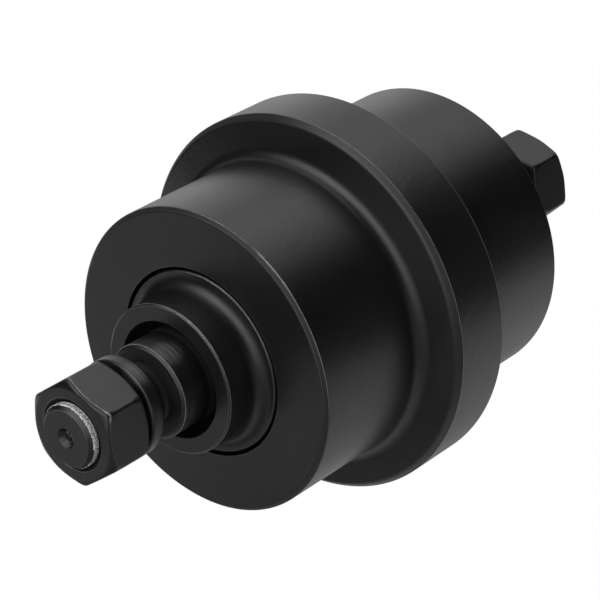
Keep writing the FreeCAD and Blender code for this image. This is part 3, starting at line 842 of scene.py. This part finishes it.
for end in ("front", "rear"):
    dress(end + "_snap_ring", springSteel)
    dress(end + "_bush", bushBronze)
    dress(end + "_shaft_o_ring", sealRubber)
    for kind in ("fixed", "turning"):
        dress(f"{end}_{kind}_seal_ring", sealIron)
        dress(f"{end}_{kind}_toric_ring", sealRubber)
print("finishes given")


# Studio: floor and surroundings that the camera sees white, soft lights round the roller, and painted light and
# shade that lie on the floor in sectors

studio = {
    "floorDrop": 0.17, "floorSize": 10.0, "floorColour": (0.385, 0.385, 0.385, 1), "shadeColour": (0, 0, 0, 1),
    "white": (1, 1, 1, 1), "whiteLevel": 1.06, "whiteShare": 0.92,
    # degrees from +X towards +Y and above the floor, degrees from its middle where it is full and where it ends,
    # and its strength
    "glows": [
        (120, 8, 4, 34, 0.30), (150, 8, 4, 34, 0.38), (270, 8, 4, 34, 0.15), (300, 8, 4, 34, 1.51),
        (108, 35, 4, 34, 0.18), (144, 35, 4, 34, 0.72), (60, 62, 4, 34, 1.30), (120, 62, 4, 34, 0.53),
        (74, 43, 4, 26, 0.42), (265, 58, 8, 34, 2.10), (292, 38, 8, 36, 1.50),
    ],
    # degrees from +X, half its width in degrees, from and to how far out in metres, and its strength
    "pools": [
        (0, 200, -1.0, 0.14, 0.32), (60, 30, 0.14, 0.34, 0.44), (120, 30, 0.14, 0.34, 0.22),
        (180, 30, 0.34, 8.0, 0.76), (240, 30, 0.34, 0.9, 0.10), (300, 30, 0.9, 8.0, 1.23),
    ],
    "shades": [(45, 38, 0.46, 8.0, 0.75), (235, 45, 0.06, 0.32, 0.55)],
    "sideBlur": 9, "endBlur": 0.2,
}


def floorPart(sheet, angle, distance, part):  # a sector of the floor with soft edges
    turn, width, near, far, strength = part
    side, short, long = studio["sideBlur"], 1 - studio["endBlur"], 1 + studio["endBlur"]
    off = sheet.math("ABSOLUTE", sheet.math("WRAP", angle - math.radians(turn), math.pi, -math.pi))
    mask = sheet.fade(off, math.radians(width + side), math.radians(width - side))
    mask = mask * sheet.fade(distance, far * long, far * short)
    if near > 0:
        mask = mask * sheet.fade(distance, near * short, near * long)
    return mask * strength


def makeWorld():
    world = bpy.data.worlds.new("studioRoom")
    world.use_nodes = True
    bpy.context.scene.world = world
    sheet = Sheet(world.node_tree)
    look = sheet.take(sheet.node("ShaderNodeTexCoord"), "Generated")
    glows = []
    for turn, rise, full, ends, strength in studio["glows"]:
        turn, rise, full, ends = (math.radians(part) for part in (turn, rise, full, ends))
        towards = (math.cos(turn) * math.cos(rise), math.sin(turn) * math.cos(rise), math.sin(rise))
        aim = sheet.node("ShaderNodeVectorMath", {"operation": "DOT_PRODUCT"}, {0: look, 1: towards})
        glows.append(sheet.fade(sheet.take(aim, "Value"), math.cos(ends), math.cos(full)) * strength)
    seen = sheet.take(sheet.node("ShaderNodeLightPath"), "Is Camera Ray")
    background = sheet.node("ShaderNodeBackground", None, {
        "Color": studio["white"], "Strength": seen + (1.0 - seen) * sheet.fold("ADD", glows)})
    sheet.node("ShaderNodeOutputWorld", None, {"Surface": sheet.take(background)})


def makeFloor():
    half = studio["floorSize"] / 2
    data = bpy.data.meshes.new("studioFloor")
    data.from_pydata([(-half, -half, 0), (half, -half, 0), (half, half, 0), (-half, half, 0)], [], [(0, 1, 2, 3)])
    data.transform(Matrix.Translation((0, 0, -studio["floorDrop"])))
    floor = bpy.data.objects.new("studioFloor", data)
    bpy.context.scene.collection.objects.link(floor)
    material, sheet = newMaterial("floorWhite")
    seen = sheet.take(sheet.node("ShaderNodeLightPath"), "Is Camera Ray")
    across, along = sheet.parts(sheet.objectPlace())[:2]
    distance, angle = sheet.diagonal(across, along), sheet.math("ARCTAN2", along, across)
    # painted light pools that glow for reflected rays, and painted shade in sectors of the floor's colour
    pools = sheet.fold("ADD", [floorPart(sheet, angle, distance, part) for part in studio["pools"]])
    shade = sheet.greatest(*[floorPart(sheet, angle, distance, part) for part in studio["shades"]])
    colour = sheet.mix(shade, studio["floorColour"], studio["shadeColour"])
    matt = sheet.node("ShaderNodeBsdfDiffuse", None, {"Color": colour})
    sheen = sheet.node("ShaderNodeEmission", None, {"Color": studio["white"], "Strength": pools * (1.0 - seen)})
    lit = sheet.node("ShaderNodeAddShader", None, {0: sheet.take(matt), 1: sheet.take(sheen)})
    white = sheet.node("ShaderNodeEmission", None, {"Color": studio["white"], "Strength": studio["whiteLevel"]})
    both = sheet.node("ShaderNodeMixShader", None, {
        0: seen * studio["whiteShare"], 1: sheet.take(lit), 2: sheet.take(white)})
    sheet.node("ShaderNodeOutputMaterial", None, {"Surface": sheet.take(both)})
    data.materials.append(material)


makeWorld()
makeFloor()
print("studio lit")
